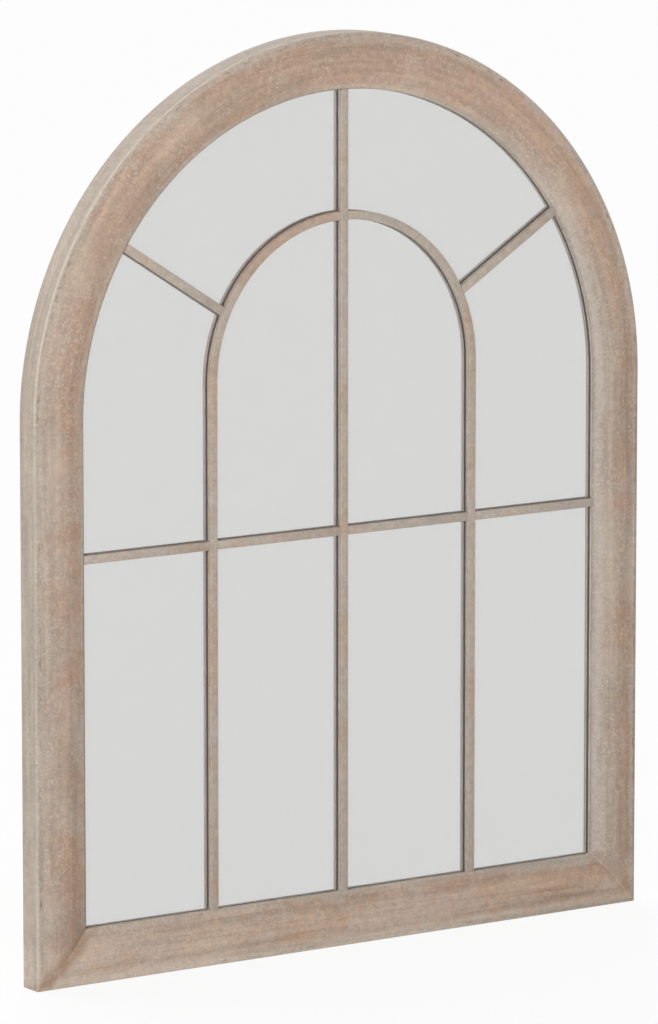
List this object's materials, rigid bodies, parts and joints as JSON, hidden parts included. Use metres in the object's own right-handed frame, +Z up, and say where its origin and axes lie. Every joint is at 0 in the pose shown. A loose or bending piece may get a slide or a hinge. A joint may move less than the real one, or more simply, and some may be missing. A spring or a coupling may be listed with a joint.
{
  "type": "arched window-pane wall mirror",
  "caption": "Arched wall mirror with a broad moulded frame, slim glazing bars with an inner arch and fan, and ring hangers on the back.",
  "frame": {"origin": "on the wall plane, the flat back of the frame, at the middle of its bottom edge", "axes": "+Z up, the mirror faces -Y, +X to the right seen from the front"},
  "size_m": [0.71, 0.0376, 0.9],
  "materials": {
    "frame_paint": "matt sand-coloured wash, worn brown in the middle of the face",
    "bar_paint": "matt sand-coloured wash, greyer than the frame",
    "spline_wood": "bare beech",
    "clear_glass": "polished clear float glass",
    "silvering": "silvered, painted grey behind",
    "hardboard": "bare hardboard",
    "zinc_steel": "bright zinc plate"
  },
  "bodies": {
    "frame": {"bottom_rail": "frame_paint", "left_stile": "frame_paint", "right_stile": "frame_paint", "arch_left_segment": "frame_paint", "arch_crown_segment": "frame_paint", "arch_right_segment": "frame_paint", "centre_mullion": "bar_paint", "left_mullion": "bar_paint", "right_mullion": "bar_paint", "inner_arch_head": "bar_paint", "transom_bar": "bar_paint", "left_radial_bar": "bar_paint", "right_radial_bar": "bar_paint", "joint_splines": "spline_wood", "mirror_glass": "clear_glass", "mirror_silvering": "silvering", "backing_board": "hardboard", "retaining_clips": "zinc_steel", "clip_screws": "zinc_steel", "hanger_screws": "zinc_steel", "left_hanger_strap": "zinc_steel", "right_hanger_strap": "zinc_steel"},
    "left_ring": {"left_hanger_ring": "zinc_steel"},
    "right_ring": {"right_hanger_ring": "zinc_steel"}
  },
  "joints": [
    {"name": "left_ring_swing", "type": "hinge", "parent": "frame", "child": "left_ring", "pos_m": [-0.32393, 0.003, 0.62], "axis": [1, 0, 0], "range_deg": [0, 180]},
    {"name": "right_ring_swing", "type": "hinge", "parent": "frame", "child": "right_ring", "pos_m": [0.32393, 0.003, 0.62], "axis": [1, 0, 0], "range_deg": [0, 180]}
  ]
}
